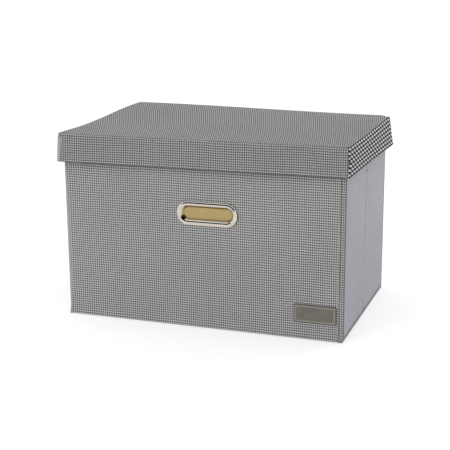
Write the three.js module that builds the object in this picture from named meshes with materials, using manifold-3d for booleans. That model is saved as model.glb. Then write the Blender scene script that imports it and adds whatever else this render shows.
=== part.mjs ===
import * as THREE from "three";
import { mergeVertices } from "three/addons/utils/BufferGeometryUtils.js";
import Module from "manifold-3d";

const wasm = await Module();
wasm.setup();

// Foldable storage box: a base panel, four cloth-covered walls whose ends fold inwards at a
// centre crease, and a lift-off lid. Millimetres, +Z up, front at -Y, right end at +X.
// The origin is the centre of the base, on the floor.

// Overall sizes
const boxWidth = 378;
const boxDepth = 248;
const boxHeight = 248; // floor to the top of the lid

// Layers of every panel, from the outside in
const clothThickness = 0.8;
const boardThickness = 2.4;
const liningThickness = 0.6;
const layerGap = 0.3; // glue line between two layers
const seamGap = 0.3; // between two panels that are sewn edge to edge
const panelCorner = 2.5; // corner radius of a covered panel, seen flat
const skirtCorner = 1.2; // corner radius inside the lid's skirt
const clothRoll = 1.2; // radius of the cloth where it turns over a board's edge

// Cloth turned round the vertical corners of the front
const bindingWidth = 6;
const weltWidth = 5;
const weltRise = 1.2; // how far the welt's bead stands off the cloth

// Lid
const lidHeight = 37; // top face to the hem of its skirt
const lidEndClearance = 0.8; // wall to skirt at the right and left ends, under the lid's top
const lidSideClearance = 4.5; // wall to skirt at the front and back
const skirtBoardThickness = 1.5;
const skirtFlare = 2; // how far the hem stands out past the top
const lidCorner = 4; // radius of the lid's vertical corners

// Recessed metal pull in the front wall
const pullLength = 83;
const pullHeight = 32;
const pullFloorDistance = 152.5; // floor to the middle of the pull
const pullSideways = 11; // the pull's middle lies this far right of the wall's middle
const pullBand = 5.5; // width of the rim seen from the front
const pullRise = 3.2; // how far the rim stands off the cloth
const rimRoundWidth = 2.3;
const rimRoundHeight = 1.8;
const sheetMetal = 0.6;
const dishDepth = 4; // cloth face to the floor of the dish
const dishRound = 2.4; // radius between the dish's wall and floor
const dishClearance = 0.8; // dish to the cut in the wall
const flangeLap = 1.2; // how far the dish's flange covers the cut's edge
const clampThickness = 1;
const clampInset = 0.5; // clamp ring's outer edge inside the rim's
const prongWidth = 4;
const prongSpacing = 36; // middle to middle along the pull
const prongFoot = 1.2; // bent end of a prong on the clamp ring

// Bare patch sewn to the lower right of the front
const patchLength = 55;
const patchHeight = 24;
const patchThickness = 1;
const patchCorner = 1.5;
const patchRound = 0.5;
const patchSideMargin = 8.5;
const patchFloorMargin = 22;

// Shared making values
const overrun = 5; // how far a cutting block runs past what it cuts
const cornerSteps = 4;
const stadiumSteps = 12;
const roundSteps = 3;
const beadSides = 16;

// Sizes that follow
const panelThickness = clothThickness + layerGap + boardThickness + layerGap + liningThickness;
const boardBack = liningThickness + layerGap;
const clothBack = panelThickness - clothThickness;
const wallBottom = panelThickness + seamGap;
const wallTop = boxHeight - panelThickness - seamGap;
const wallHeight = wallTop - wallBottom;
const wallMiddle = (wallTop + wallBottom) / 2;
const innerDepth = boxDepth - 2 * panelThickness;
const halfLength = (innerDepth - 3 * seamGap) / 2;
const skirtThickness = clothThickness + skirtBoardThickness + liningThickness + 2 * layerGap;
const lidWidth = boxWidth + 2 * (lidEndClearance + skirtThickness);
const lidDepth = boxDepth + 2 * (lidSideClearance + skirtThickness);

// Finishes
const finish = (color, roughness, metalness = 0) =>
  new THREE.MeshStandardMaterial({ color, roughness, metalness });
const checkCloth = () => finish(0x8e8e8e, 0.9);
const boldCheckCloth = () => finish(0x838383, 0.9);
const plainCloth = () => finish(0xa6a5ac, 0.9);
const liningCloth = () => finish(0xb9b8bb, 0.95);
const greyBoard = () => finish(0x9a9288, 0.95);
const patchLeather = () => finish(0x74706a, 0.6);
const nickel = () => finish(0xd8cfc4, 0.25, 1);
const brass = () => finish(0xaa986b, 0.4, 1);
const steel = () => finish(0xb5b5b0, 0.4, 1);

// Closed three.js geometry to a solid that can be joined and cut
function solidOf(geometry) {
  const plain = new THREE.BufferGeometry();
  plain.setAttribute("position", geometry.getAttribute("position"));
  plain.setIndex(geometry.getIndex());
  const merged = mergeVertices(plain);
  const mesh = new wasm.Mesh({
    numProp: 3,
    vertProperties: merged.getAttribute("position").array,
    triVerts: new Uint32Array(merged.getIndex().array),
  });
  return new wasm.Manifold(mesh);
}

// Solid to a named mesh with flat faces
function meshOf(name, solid, material) {
  const { vertProperties, triVerts } = solid.getMesh();
  const indexed = new THREE.BufferGeometry();
  indexed.setAttribute("position", new THREE.BufferAttribute(vertProperties, 3));
  indexed.setIndex(new THREE.BufferAttribute(triVerts, 1));
  const geometry = indexed.toNonIndexed();
  geometry.computeVertexNormals();
  const mesh = new THREE.Mesh(geometry, material);
  mesh.name = name;
  return mesh;
}

function groupOf(...children) {
  const group = new THREE.Group();
  group.add(...children);
  return group;
}

function roundedRectangle(width, height, radius) {
  const x = width / 2 - radius;
  const y = height / 2 - radius;
  const quarter = Math.PI / 2;
  const shape = new THREE.Shape();
  shape.absarc(x, -y, radius, -quarter, 0);
  shape.absarc(x, y, radius, 0, quarter);
  shape.absarc(-x, y, radius, quarter, 2 * quarter);
  shape.absarc(-x, -y, radius, 2 * quarter, 3 * quarter);
  return shape;
}

function stadium(length, height) {
  const radius = height / 2;
  const x = length / 2 - radius;
  const shape = new THREE.Shape();
  shape.absarc(x, 0, radius, -Math.PI / 2, Math.PI / 2);
  shape.absarc(-x, 0, radius, Math.PI / 2, 1.5 * Math.PI);
  return shape;
}

// Straight prism of an outline, from low to high
function prism(shape, low, high, steps = cornerSteps) {
  const geometry = new THREE.ExtrudeGeometry(shape, {
    depth: high - low,
    bevelEnabled: false,
    curveSegments: steps,
  });
  return solidOf(geometry.translate(0, 0, low));
}

// Prism whose upper edge is rounded over
function roundedPrism(shape, low, high, roundWidth, roundHeight, steps = cornerSteps) {
  const geometry = new THREE.ExtrudeGeometry(shape, {
    depth: high - low + overrun,
    curveSegments: steps,
    bevelSize: roundWidth,
    bevelOffset: -roundWidth,
    bevelThickness: roundHeight,
    bevelSegments: roundSteps,
  });
  const top = high - low + overrun + roundHeight;
  const block = solidOf(geometry.translate(0, 0, high - top));
  return block.subtract(cutBox([-boxWidth, -boxWidth, low - boxHeight], [boxWidth, boxWidth, low]));
}

// Box between two opposite corners
function cutBox(from, to) {
  const low = new THREE.Vector3(...from);
  const size = new THREE.Vector3(...to).sub(low);
  const middle = low.addScaledVector(size, 1 / 2);
  const geometry = new THREE.BoxGeometry(size.x, size.y, size.z);
  return solidOf(geometry.translate(middle.x, middle.y, middle.z));
}

// One covered panel lies flat here: z = 0 is its lined face and +Z its cloth face

function insetRectangle(width, height, corner, inset) {
  return roundedRectangle(width - 2 * inset, height - 2 * inset, corner - inset);
}

function clothPan(width, height, corner = panelCorner) {
  const outline = roundedRectangle(width, height, corner);
  const block = roundedPrism(outline, 0, panelThickness, clothRoll, clothRoll);
  const pocket = insetRectangle(width, height, corner, clothThickness);
  return block.subtract(prism(pocket, -overrun, clothBack));
}

function panelBoard(width, height, corner = panelCorner) {
  const outline = insetRectangle(width, height, corner, clothThickness + layerGap);
  return prism(outline, boardBack, boardBack + boardThickness);
}

function panelLining(width, height, corner = panelCorner) {
  const outline = insetRectangle(width, height, corner, clothThickness + layerGap);
  return prism(outline, 0, liningThickness);
}

function coveredPanel(name, width, height, material, corner = panelCorner) {
  return groupOf(
    meshOf(name + "_board", panelBoard(width, height, corner), greyBoard()),
    meshOf(name + "_cloth", clothPan(width, height, corner), material),
    meshOf(name + "_lining", panelLining(width, height, corner), liningCloth()),
  );
}

// Stands a flat panel up with its cloth face outwards, turned about the vertical
function stand(panel, turn, x, y, z) {
  panel.rotation.set(Math.PI / 2, 0, turn, "ZYX");
  panel.position.set(x, y, z);
  return panel;
}

function basePanel() {
  const panel = coveredPanel("base", boxWidth, boxDepth, plainCloth());
  panel.rotation.x = Math.PI;
  panel.position.z = panelThickness;
  return panel;
}

function backWall() {
  const panel = coveredPanel("back_wall", boxWidth, wallHeight, checkCloth());
  return stand(panel, Math.PI, 0, boxDepth / 2 - panelThickness, wallMiddle);
}

// Each end wall is two halves that meet at the centre crease
function endWall(side, sign) {
  const turn = (sign * Math.PI) / 2;
  const x = sign * (boxWidth / 2 - panelThickness);
  const y = (seamGap + halfLength) / 2;
  const rear = coveredPanel(side + "_rear", halfLength, wallHeight, plainCloth());
  const front = coveredPanel(side + "_front", halfLength, wallHeight, plainCloth());
  return groupOf(stand(rear, turn, x, y, wallMiddle), stand(front, turn, x, -y, wallMiddle));
}

// Metal pull, made about its own middle in the front panel's frame

const mouthLength = pullLength - 2 * pullBand;
const mouthHeight = pullHeight - 2 * pullBand;
const cutMargin = 2 * (sheetMetal + dishClearance);
const flangeMargin = cutMargin + 2 * flangeLap;
const rebateMargin = flangeMargin + 2 * layerGap;
const rimBack = panelThickness + layerGap;
const clampBack = -layerGap - clampThickness;
const prongBack = clampBack - layerGap - sheetMetal;
const prongLine = (mouthHeight + rebateMargin) / 2 + layerGap + sheetMetal / 2;

function mouthOutline(margin) {
  return stadium(mouthLength + margin, mouthHeight + margin);
}

function prongPlaces() {
  const places = [];
  for (const x of [-prongSpacing / 2, prongSpacing / 2])
    for (const side of [-1, 1]) places.push({ x, side });
  return places;
}

// A prong's shank with its bent foot, and the same shape grown by a clearance for its slot
function prongs(grow, low, withFoot) {
  const halfWidth = prongWidth / 2 + grow;
  const halfSheet = sheetMetal / 2 + grow;
  return prongPlaces().map(({ x, side }) => {
    const y = side * prongLine;
    const high = rimBack + sheetMetal;
    const shank = cutBox([x - halfWidth, y - halfSheet, low], [x + halfWidth, y + halfSheet, high]);
    if (!withFoot) return shank;
    const ends = [y - side * halfSheet, y + side * (halfSheet + prongFoot)].sort((a, b) => a - b);
    return shank.add(
      cutBox([x - halfWidth, ends[0], low], [x + halfWidth, ends[1], low + sheetMetal]),
    );
  });
}

function pullRim() {
  const outline = stadium(pullLength, pullHeight);
  outline.holes.push(mouthOutline(0));
  const front = rimBack + pullRise - layerGap;
  const band = roundedPrism(outline, rimBack, front, rimRoundWidth, rimRoundHeight, stadiumSteps);
  const rebateTop = rimBack + sheetMetal + layerGap;
  const rebate = prism(mouthOutline(rebateMargin), rimBack - overrun, rebateTop, stadiumSteps);
  return prongs(0, prongBack, true).reduce((rim, prong) => rim.add(prong), band.subtract(rebate));
}

function pullDish() {
  const back = panelThickness - dishDepth;
  const flip = (solid) => solid.rotate([180, 0, 0]);
  const shellOutline = mouthOutline(2 * sheetMetal);
  const outerRound = dishRound + sheetMetal;
  const shellFront = rimBack + sheetMetal;
  const shell = flip(
    roundedPrism(shellOutline, -shellFront, sheetMetal - back, outerRound, outerRound, stadiumSteps),
  );
  const hollow = flip(
    roundedPrism(mouthOutline(0), -shellFront - overrun, -back, dishRound, dishRound, stadiumSteps),
  );
  const flange = prism(mouthOutline(flangeMargin), rimBack, shellFront, stadiumSteps);
  return shell.add(flange).subtract(hollow);
}

function clampRing() {
  const inset = 2 * clampInset;
  const outline = stadium(pullLength - inset, pullHeight - inset);
  outline.holes.push(mouthOutline(cutMargin));
  const ring = prism(outline, clampBack, -layerGap, stadiumSteps);
  return prongs(layerGap, clampBack - overrun, false).reduce((r, slot) => r.subtract(slot), ring);
}

function patch() {
  const outline = roundedRectangle(patchLength, patchHeight, patchCorner);
  const back = panelThickness + layerGap;
  const x = boxWidth / 2 - patchSideMargin - patchLength / 2;
  const y = patchFloorMargin + patchHeight / 2 - wallMiddle;
  return roundedPrism(outline, back, back + patchThickness, patchRound, patchRound).translate([x, y, 0]);
}

// Round bead of the welt, hollowed where the front's board lies
function weltBead() {
  const radius = weltWidth / 2;
  const bead = new THREE.CylinderGeometry(radius, radius, wallHeight - 2 * panelCorner, beadSides);
  bead.translate(boxWidth / 2 - radius, 0, panelThickness + weltRise - radius);
  const pocket = insetRectangle(boxWidth, wallHeight, panelCorner, clothThickness);
  return solidOf(bead).subtract(prism(pocket, -overrun, clothBack));
}

// Front wall: the pull's opening and prong slots go through all three layers
function frontWall() {
  const pullPlace = [pullSideways, pullFloorDistance - wallMiddle, 0];
  const hole = prism(mouthOutline(cutMargin), -overrun, panelThickness + overrun, stadiumSteps);
  const opening = prongs(layerGap, -overrun, false).reduce((all, slot) => all.add(slot), hole);
  const opened = (solid) => solid.subtract(opening.translate(pullPlace));
  const placed = (solid) => solid.translate(pullPlace);

  const pan = opened(clothPan(boxWidth, wallHeight));
  const left = -boxWidth / 2;
  const right = boxWidth / 2;
  const endBlock = (from, to) => cutBox([from, -wallHeight, -overrun], [to, wallHeight, boxDepth]);
  const binding = pan.intersect(endBlock(left - overrun, left + bindingWidth));
  const welt = pan.intersect(endBlock(right - weltWidth, right + overrun)).add(weltBead());
  const cloth = pan.intersect(
    endBlock(left + bindingWidth + layerGap, right - weltWidth - layerGap),
  );

  const panel = groupOf(
    meshOf("front_wall_board", opened(panelBoard(boxWidth, wallHeight)), greyBoard()),
    meshOf("front_wall_cloth", cloth, checkCloth()),
    meshOf("front_wall_lining", opened(panelLining(boxWidth, wallHeight)), liningCloth()),
    meshOf("front_left_binding", binding, plainCloth()),
    meshOf("front_right_welt", welt, checkCloth()),
    meshOf("pull_rim", placed(pullRim()), nickel()),
    meshOf("pull_dish", placed(pullDish()), brass()),
    meshOf("pull_clamp_ring", placed(clampRing()), steel()),
    meshOf("front_patch", patch(), patchLeather()),
  );
  return stand(panel, 0, 0, panelThickness - boxDepth / 2, wallMiddle);
}

// Lid, made in its own frame: z = 0 is its top face, and the skirt flares towards its hem

const skirtTop = -panelThickness - seamGap;
const skirtDrop = lidHeight + skirtTop;

// Block inside the skirt's outer faces by two insets, wider towards the hem
function flaredBlock(insetX, insetY, low, high, radius = skirtCorner) {
  const outline = roundedRectangle(lidWidth - 2 * insetX, lidDepth - 2 * insetY, radius);
  const geometry = new THREE.ExtrudeGeometry(outline, {
    depth: high - low,
    bevelEnabled: false,
    curveSegments: cornerSteps,
  });
  geometry.translate(0, 0, low);
  const points = geometry.getAttribute("position");
  for (let i = 0; i < points.count; i++) {
    const spread = (skirtFlare * (skirtTop - points.getZ(i))) / skirtDrop;
    points.setX(i, points.getX(i) + Math.sign(points.getX(i)) * spread);
    points.setY(i, points.getY(i) + Math.sign(points.getY(i)) * spread);
  }
  return solidOf(geometry);
}

const hem = -lidHeight;
const past = -boxWidth / 2; // an inset that runs a block well past the skirt
const sleeveInner = skirtThickness - liningThickness;
const boardOuter = clothThickness + layerGap;
const boardInner = sleeveInner - layerGap;

// Everything of a solid that lies on one side of the lid
function oneSide(solid, axis, sign) {
  const from = [-lidWidth, -lidWidth, -lidWidth];
  const to = [lidWidth, lidWidth, lidWidth];
  if (sign > 0) from[axis] = 0;
  else to[axis] = 0;
  return solid.intersect(cutBox(from, to));
}

// Front and back skirts run the full width, and the end skirts stand between them.
// Each skirt is a sleeve of cloth, open at the top, with a board in it.
function longSkirts() {
  const low = hem - overrun;
  const high = overrun;
  const body = flaredBlock(0, 0, hem, skirtTop, lidCorner);
  const sleeve = body.subtract(flaredBlock(past, skirtThickness, low, high));
  const pocket = flaredBlock(clothThickness, clothThickness, hem + clothThickness, high).subtract(
    flaredBlock(past, sleeveInner, low, high),
  );
  const board = flaredBlock(boardOuter, boardOuter, hem + boardOuter, skirtTop).subtract(
    flaredBlock(past, boardInner, low, high),
  );
  return { sleeve: sleeve.subtract(pocket), board };
}

function endSkirts() {
  const low = hem - overrun;
  const high = overrun;
  const reach = skirtThickness + seamGap;
  const body = flaredBlock(0, reach, hem, skirtTop);
  const sleeve = body.subtract(flaredBlock(skirtThickness, past, low, high));
  const pocketEnd = reach + clothThickness;
  const pocket = flaredBlock(clothThickness, pocketEnd, hem + clothThickness, high).subtract(
    flaredBlock(sleeveInner, past, low, high),
  );
  const boardEnd = reach + boardOuter;
  const board = flaredBlock(boardOuter, boardEnd, hem + boardOuter, skirtTop).subtract(
    flaredBlock(boardInner, past, low, high),
  );
  return { sleeve: sleeve.subtract(pocket), board };
}

function lidTop() {
  const panel = coveredPanel("lid_top", lidWidth, lidDepth, checkCloth(), lidCorner);
  panel.position.z = -panelThickness;
  return panel;
}

function lid() {
  const long = longSkirts();
  const ends = endSkirts();
  const front = oneSide(long.sleeve, 1, -1);
  const edge = -lidWidth / 2 + bindingWidth;
  const cornerBlock = (x) => cutBox([-lidWidth, -lidWidth, hem - overrun], [x, 0, overrun]);
  const leaf = (inset) => flaredBlock(inset, inset, hem + inset, overrun, lidCorner - inset);
  const binding = front.intersect(cornerBlock(edge)).subtract(leaf(clothThickness));
  const cloth = front.subtract(
    cornerBlock(edge + layerGap).subtract(leaf(clothThickness + layerGap)),
  );
  const group = groupOf(
    lidTop(),
    meshOf("lid_front_skirt_board", oneSide(long.board, 1, -1), greyBoard()),
    meshOf("lid_front_skirt_cloth", cloth, checkCloth()),
    meshOf("lid_left_corner_binding", binding, plainCloth()),
    meshOf("lid_back_skirt_board", oneSide(long.board, 1, 1), greyBoard()),
    meshOf("lid_back_skirt_cloth", oneSide(long.sleeve, 1, 1), checkCloth()),
    meshOf("lid_right_skirt_board", oneSide(ends.board, 0, 1), greyBoard()),
    meshOf("lid_right_skirt_cloth", oneSide(ends.sleeve, 0, 1), boldCheckCloth()),
    meshOf("lid_left_skirt_board", oneSide(ends.board, 0, -1), greyBoard()),
    meshOf("lid_left_skirt_cloth", oneSide(ends.sleeve, 0, -1), boldCheckCloth()),
  );
  group.position.z = boxHeight;
  return group;
}

export default groupOf(
  basePanel(),
  backWall(),
  endWall("right", 1),
  endWall("left", -1),
  frontWall(),
  lid(),
);
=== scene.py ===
import math
from functools import cache

import bmesh
import bpy
from mathutils import Matrix, Vector, noise


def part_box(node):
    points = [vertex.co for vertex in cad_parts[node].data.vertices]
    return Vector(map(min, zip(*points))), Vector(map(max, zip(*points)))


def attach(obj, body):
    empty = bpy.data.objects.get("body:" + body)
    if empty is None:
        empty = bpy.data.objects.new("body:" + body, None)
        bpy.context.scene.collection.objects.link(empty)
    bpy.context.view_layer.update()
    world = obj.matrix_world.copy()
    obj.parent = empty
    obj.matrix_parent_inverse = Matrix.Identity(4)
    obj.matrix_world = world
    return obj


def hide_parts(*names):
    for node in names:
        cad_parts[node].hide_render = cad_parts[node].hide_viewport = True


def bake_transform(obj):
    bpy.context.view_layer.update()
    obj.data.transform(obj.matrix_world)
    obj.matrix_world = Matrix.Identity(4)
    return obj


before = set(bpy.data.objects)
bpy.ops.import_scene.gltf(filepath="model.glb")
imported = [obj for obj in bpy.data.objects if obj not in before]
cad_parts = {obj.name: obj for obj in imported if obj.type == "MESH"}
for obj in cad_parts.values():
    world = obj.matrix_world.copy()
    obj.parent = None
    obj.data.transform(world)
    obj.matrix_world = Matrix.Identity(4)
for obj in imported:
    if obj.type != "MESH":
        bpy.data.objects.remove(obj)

bl_info = {
    "name": "Foldable storage box",
    "version": (1, 0, 0),
    "blender": (4, 5, 0),
    "location": "View3D > Sidebar > Storage box",
    "description": "Dresses the packed panels of a folding cloth box in check cloth, metal and thread",
    "category": "Object",
}

CLOTH_UV = "Cloth"

# The photograph's camera, fitted to the box's visible corners in a 450 x 450 frame
PHOTO_SIZE = 450
PHOTO_FOCAL = 1025.0
PHOTO_AZIMUTH = 19.6
PHOTO_ELEVATION = 13.8
PHOTO_ROLL = -0.4
PHOTO_DISTANCE = 1.428
PHOTO_TARGET = (-0.0095, 0.0, 0.1077)
SENSOR_WIDTH = 36.0

# The point near the box's middle that the lamps face
LAMP_TARGET = (0, 0, 0.12)

# Radius of the lid's upright corners, and the least angle that shows as a fold in the metal
LID_ROUND = 0.004
FACET_ANGLE = math.radians(12)

# The way that each wall's cloth faces
WALLS = {
    "front": (0, -1, 0),
    "back": (0, 1, 0),
    "right_rear": (1, 0, 0),
    "right_front": (1, 0, 0),
    "left_rear": (-1, 0, 0),
    "left_front": (-1, 0, 0),
}


def colour(name, description, value):
    return bpy.props.FloatVectorProperty(
        name=name, description=description, subtype="COLOR", size=3, min=0, max=1, default=value
    )


def amount(name, description, value, **more):
    return bpy.props.FloatProperty(name=name, description=description, default=value, **more)


def length(name, description, value):
    return amount(name, description, value, subtype="DISTANCE", unit="LENGTH", min=0)


class ClothSettings(bpy.types.PropertyGroup):
    """Sizes and colours of the box's cloths"""

    check_across: length("Check across", "Width of one dark and one light stripe", 0.00295)
    check_up: length("Check up", "Height of one dark and one light stripe", 0.00315)
    bold_along: length("Bold check length", "Length of two cells of the lid's end check", 0.0264)
    bold_rise: length("Bold check rise", "Repeat of the lid's end check up its slow diagonal", 0.0378)
    bold_fall: length("Bold check fall", "Repeat of the lid's end check up its steep diagonal", 0.00576)
    check_dark: colour("Check dark", "Dark thread of the fine check", (0.035, 0.035, 0.036))
    check_light: colour("Check light", "Light thread of the fine check", (0.56, 0.56, 0.556))
    skirt_dark: colour("Skirt dark", "Dark thread of the lid's front skirt", (0.014, 0.014, 0.015))
    skirt_light: colour("Skirt light", "Light thread of the lid's front skirt", (0.46, 0.46, 0.457))
    top_dark: colour("Top dark", "Dark thread of the lid's top", (0.004, 0.004, 0.0045))
    top_light: colour("Top light", "Light thread of the lid's top", (0.53, 0.53, 0.527))
    bold_dark: colour("Bold dark", "Dark thread of the bold check", (0.004, 0.004, 0.0045))
    bold_light: colour("Bold light", "Light thread of the bold check", (0.625, 0.625, 0.625))
    plain: colour("Plain cloth", "Lavender grey of the end walls", (0.372, 0.365, 0.408))
    lining: colour("Lining", "Pale non-woven lining", (0.5, 0.5, 0.51))
    # The base cloth is the end walls' lavender made darker: partly its own colour, partly painted shade for
    # the dark line along the foot of the walls
    base: colour("Base cloth", "Cloth of the base panel", (0.24, 0.236, 0.255))
    board: colour("Greyboard", "Cut edge of the boards", (0.32, 0.285, 0.245))
    thread: colour("Thread", "Sewing thread", (0.3, 0.3, 0.305))
    cloth_thickness: length("Cloth thickness", "Thickness of a cover", 0.0007)
    cloth_roll: length("Cloth roll", "Radius where a cover turns over an edge", 0.0016)


class PullSettings(bpy.types.PropertyGroup):
    """Sizes and colours of the metal pull and the patch"""

    mouth_length: length("Mouth length", "Length of the finger opening", 0.072)
    mouth_height: length("Mouth height", "Height of the finger opening", 0.021)
    rim: colour("Rim", "Warm nickel plate", (0.64, 0.59, 0.53))
    dish: colour("Dish", "Gilt sheet", (0.37, 0.283, 0.129))
    clamp: colour("Clamp", "Zinc-plated sheet", (0.6, 0.6, 0.58))
    patch: colour("Patch", "Taupe leatherette", (0.175, 0.16, 0.14))
    patch_line: colour("Patch line", "Lighter line inside the patch's edge", (0.33, 0.31, 0.27))


class StageSettings(bpy.types.PropertyGroup):
    """Floor, light and camera"""

    floor: colour("Floor", "Pale studio floor", (0.95, 0.95, 0.95))
    floor_glow: amount("Floor glow", "Light that the floor sends to the camera by itself", 0.42)
    shadow_share: amount("Shadow share", "Share of the floor's own shade that the camera sees", 0.8)
    sky_strength: amount("Sky", "Strength of the even light from all round", 0.78)
    key_power: amount("Key", "Power of the large soft lamp", 15.0, subtype="POWER")
    fill_power: amount("Fill", "Power of the soft lamp on the right", 5.0, subtype="POWER")


# Node helpers


class NodeTree:
    """Adds nodes to one tree and joins them by short calls"""

    def __init__(self, tree):
        self.tree = tree

    def add(self, kind, inputs=None, **settings):
        """A new node with its settings, and a value or a link for each input that is named"""
        node = self.tree.nodes.new(kind)
        for key, value in settings.items():
            setattr(node, key, value)
        return self.fill(node, inputs or {})

    def fill(self, node, inputs):
        """Gives each named input its value or its link"""
        for key, value in inputs.items():
            socket = node.inputs[key]
            if isinstance(value, bpy.types.NodeSocket):
                self.tree.links.new(value, socket)
            else:
                socket.default_value = value
        return node

    def calc(self, operation, *values, clamp=False):
        values = dict(enumerate(values))
        return self.add("ShaderNodeMath", values, operation=operation, use_clamp=clamp).outputs[0]

    def wave(self, turns, full_turn=2 * math.pi):
        """Sine of a count of repeats"""
        return self.calc("SINE", self.calc("MULTIPLY", turns, full_turn))

    def mix(self, factor, a, b, blend="MIX"):
        colours = {"Factor": factor, 6: a, 7: b}
        return self.add("ShaderNodeMix", colours, data_type="RGBA", blend_type=blend).outputs[2]

    def noise(self, vector, scale, detail=2.0, roughness=0.5):
        values = {"Vector": vector, "Scale": scale, "Detail": detail, "Roughness": roughness}
        return self.add("ShaderNodeTexNoise", values).outputs["Fac"]

    def bump(self, height, strength, distance):
        values = {"Height": height, "Strength": strength, "Distance": distance}
        return self.add("ShaderNodeBump", values).outputs["Normal"]

    def mapped(self, vector, **change):
        """The vector turned or scaled, as Rotation or Scale says"""
        return self.add("ShaderNodeMapping", {"Vector": vector, **change}).outputs[0]

    def split(self, vector):
        node = self.add("ShaderNodeSeparateXYZ", {0: vector})
        return node.outputs["X"], node.outputs["Y"]

    def cloth(self):
        """Place on the flat cloth, in metres"""
        return self.add("ShaderNodeUVMap", uv_map=CLOTH_UV).outputs["UV"]

    def place(self):
        """Place in the object's own space"""
        return self.add("ShaderNodeTexCoord").outputs["Object"]


def tint(base, share=1.0):
    """A share of a colour, with its alpha at 1"""
    return (*(c * share for c in base), 1.0)


def new_material(name, roughness, metallic=0.0, specular=0.5):
    """A material, the helper for its nodes, and its Principled BSDF"""
    material = bpy.data.materials.new(name)
    material.use_nodes = True
    nodes = NodeTree(material.node_tree)
    shader = material.node_tree.nodes["Principled BSDF"]
    nodes.fill(shader, {"Roughness": roughness, "Metallic": metallic, "Specular IOR Level": specular})
    return material, nodes, shader


def check_weave(nodes, vector, cloth, across=1.0, up=1.0, wander=0.6, twill=0.4, gain=0.85):
    """Two-tone twill check: four dark and four light threads each way, as in a small houndstooth

    across and up are shares of the check's size, and wander is how far its lines stray
    """
    threads, repeat = 8.0, 4.0
    turns, stripes, counts, rounds = [], [], [], []
    strays = (17.0, 23.0)
    sizes = (cloth.check_across * across, cloth.check_up * up)
    for place, size, stray in zip(nodes.split(vector), sizes, strays):
        drift = nodes.calc("SUBTRACT", nodes.noise(vector, stray, detail=1.0), 0.5)
        turns.append(nodes.calc("MULTIPLY_ADD", drift, wander, nodes.calc("DIVIDE", place, size)))
        stripes.append(nodes.calc("MULTIPLY_ADD", nodes.wave(turns[-1]), gain, 0.5, clamp=True))
        counts.append(nodes.calc("MULTIPLY", turns[-1], threads))
        rounds.append(nodes.wave(nodes.calc("FRACT", counts[-1]), math.pi))
    diagonal = nodes.calc("ADD", *(nodes.calc("FLOOR", count) for count in counts))
    over = nodes.calc("LESS_THAN", nodes.calc("FLOORED_MODULO", diagonal, repeat), repeat / 2)
    warp, weft = stripes
    picked = nodes.calc("MULTIPLY_ADD", nodes.calc("SUBTRACT", warp, weft), over, weft)
    even = nodes.calc("MULTIPLY", nodes.calc("ADD", warp, weft), 0.5)
    light = nodes.calc("MULTIPLY_ADD", nodes.calc("SUBTRACT", picked, even), twill, even)
    crown = nodes.calc("SUBTRACT", *rounds)
    return light, nodes.calc("MULTIPLY_ADD", crown, over, rounds[1])


def chequer_weave(nodes, vector, cloth):
    """Chequer cells between two slanted sets of lines, as the bold cloth of the lid's ends has"""
    threads, gain, light_share = 10.0, 3.6, -0.2
    x, y = nodes.split(vector)
    along = nodes.calc("DIVIDE", x, cloth.bold_along)
    slow = nodes.calc("SUBTRACT", along, nodes.calc("DIVIDE", y, cloth.bold_rise))
    steep = nodes.calc("ADD", along, nodes.calc("DIVIDE", y, cloth.bold_fall))
    product = nodes.calc("MULTIPLY", nodes.wave(slow), nodes.wave(steep))
    light = nodes.calc("MULTIPLY_ADD", product, gain, light_share, clamp=True)
    ribs = [nodes.wave(turns, threads * math.pi) for turns in (slow, steep)]
    return light, nodes.calc("MULTIPLY", *ribs)


def blotched(nodes, base, share, vector):
    """The colour, taken down by soft blotches, as cloth is after folding and storing"""
    blotch = nodes.noise(vector, scale=9.0, detail=4.0)
    blotch = {"Value": blotch, "From Min": 0.3, "From Max": 0.7}
    shade = nodes.add("ShaderNodeMapRange", blotch).outputs[0]
    return nodes.mix(shade, base, tint((1, 1, 1), 1 - share), "MULTIPLY")


def finish_cloth(nodes, shader, colours, blotch, height, raised, sheen):
    """Soft blotches, raised threads and a little fuzz"""
    nodes.fill(shader, {
        "Base Color": blotched(nodes, colours, blotch, nodes.cloth()),
        "Normal": nodes.bump(height, strength=0.25, distance=raised),
        "Sheen Weight": sheen,
        "Sheen Roughness": 0.5,
    })


def two_tone_cloth(name, cloth, tones, weave, **values):
    """A cloth coloured by its weave"""
    material, nodes, shader = new_material(name, 0.88, specular=0.25)
    light, height = weave(nodes, nodes.cloth(), cloth, **values)
    dark_thread, light_thread = (tint(getattr(cloth, tones + end)) for end in ("_dark", "_light"))
    colours = nodes.mix(light, dark_thread, light_thread)
    finish_cloth(nodes, shader, colours, blotch=0.09, height=height, raised=0.0002, sheen=0.05)
    return material


def plain_cloth(name, base, pitch, contrast, blotch, roughness=0.9):
    """A one-colour plain weave with slubs, whose threads stand up a little"""
    material, nodes, shader = new_material(name, roughness, specular=0.25)
    vector = nodes.cloth()
    threads = [
        nodes.wave(nodes.calc("DIVIDE", place, pitch), math.pi) for place in nodes.split(vector)
    ]
    drawn = nodes.mapped(vector, Scale=(1.0, 0.22, 1.0))
    slub = nodes.noise(drawn, scale=420.0, detail=4.0, roughness=0.65)
    colours = nodes.mix(slub, tint(base, 1 + contrast), tint(base, 1 - contrast))
    height = nodes.calc("MULTIPLY_ADD", slub, 0.6, nodes.calc("MULTIPLY", *threads))
    finish_cloth(nodes, shader, colours, blotch, height, raised=0.00015, sheen=0.12)
    return material


def grained_material(name, base, roughness, specular, grain, tones, bump):
    """A matt finish between two shares of its colour; grain is its noise's scale, detail and roughness"""
    material, nodes, shader = new_material(name, roughness, specular=specular)
    fibre = nodes.noise(nodes.place(), *grain)
    colours = nodes.mix(fibre, *(tint(base, share) for share in tones))
    nodes.fill(shader, {"Base Color": colours, "Normal": nodes.bump(fibre, *bump)})
    return material


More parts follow.
